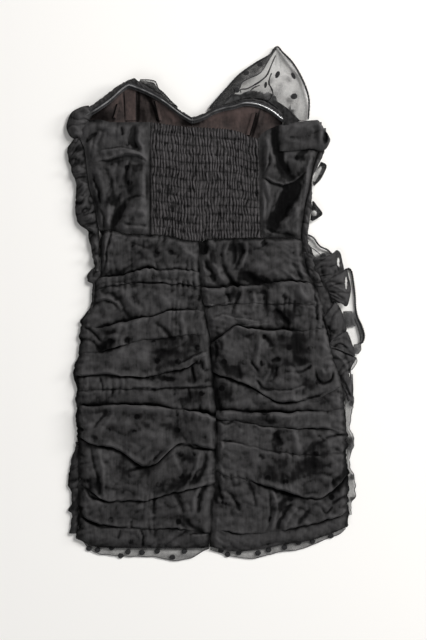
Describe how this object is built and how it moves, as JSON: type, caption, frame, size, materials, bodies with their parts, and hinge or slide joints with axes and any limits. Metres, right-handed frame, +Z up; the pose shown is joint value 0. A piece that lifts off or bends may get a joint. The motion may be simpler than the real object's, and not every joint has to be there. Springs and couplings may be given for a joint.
{
  "type": "strapless mini dress",
  "caption": "Strapless mini dress laid flat with its back up: sweetheart neckline, shirred back panel, gathered bodice and skirt, ruffles down the side and a net hem.",
  "frame": {"origin": "on the surface that the dress lies on, under the middle of its outline", "axes": "+X across the dress towards its right side as seen, +Y along the dress towards the neckline, +Z up from the surface, with the dress's back facing up"},
  "size_m": [0.4482, 0.7739, 0.0242],
  "materials": {
    "cloth": "satin organza over lining",
    "shirred": "elasticated gathers",
    "lining": "smooth lining",
    "binding": "folded binding",
    "piping": "shiny corded piping",
    "sheer": "sheer dotted organza"
  },
  "bodies": {
    "root": {"front_skirt": "cloth", "front_bodice": "cloth", "front_cup_left": "cloth", "front_cup_right": "cloth", "lining_cup_left": "lining", "lining_cup_right": "lining", "boning_channel_left": "lining", "boning_channel_side": "lining", "boning_channel_middle": "lining", "boning_channel_right": "lining", "neckline_binding_left": "binding", "neckline_binding_right": "binding", "neckline_piping_left": "piping", "neckline_piping_right": "piping", "neckline_frill_left": "cloth", "neckline_frill_right": "cloth", "back_shirred_panel": "shirred", "back_bodice_left": "cloth", "back_bodice_right": "cloth", "back_band_right": "cloth", "side_ruffle_left_upper": "cloth", "side_strip_right": "cloth", "side_ruffle_left_lower": "cloth", "side_ruffle_right_lower": "sheer", "underarm_gather_left": "cloth", "side_tip_left": "cloth", "bust_petal_left": "sheer", "bust_petal_right": "sheer", "side_ruffle_right_a": "sheer", "side_ruffle_right_b": "sheer", "side_ruffle_right_c": "sheer", "side_ruffle_right_d": "cloth", "side_ruffle_right_e": "cloth", "side_ruffle_right_f": "cloth", "side_ruffle_right_g": "cloth", "side_ruffle_right_h": "cloth", "side_ruffle_right_net": "sheer", "back_skirt_left": "cloth", "back_skirt_right": "cloth", "hem_net_left": "sheer", "hem_net_right": "sheer"}
  },
  "joints": []
}
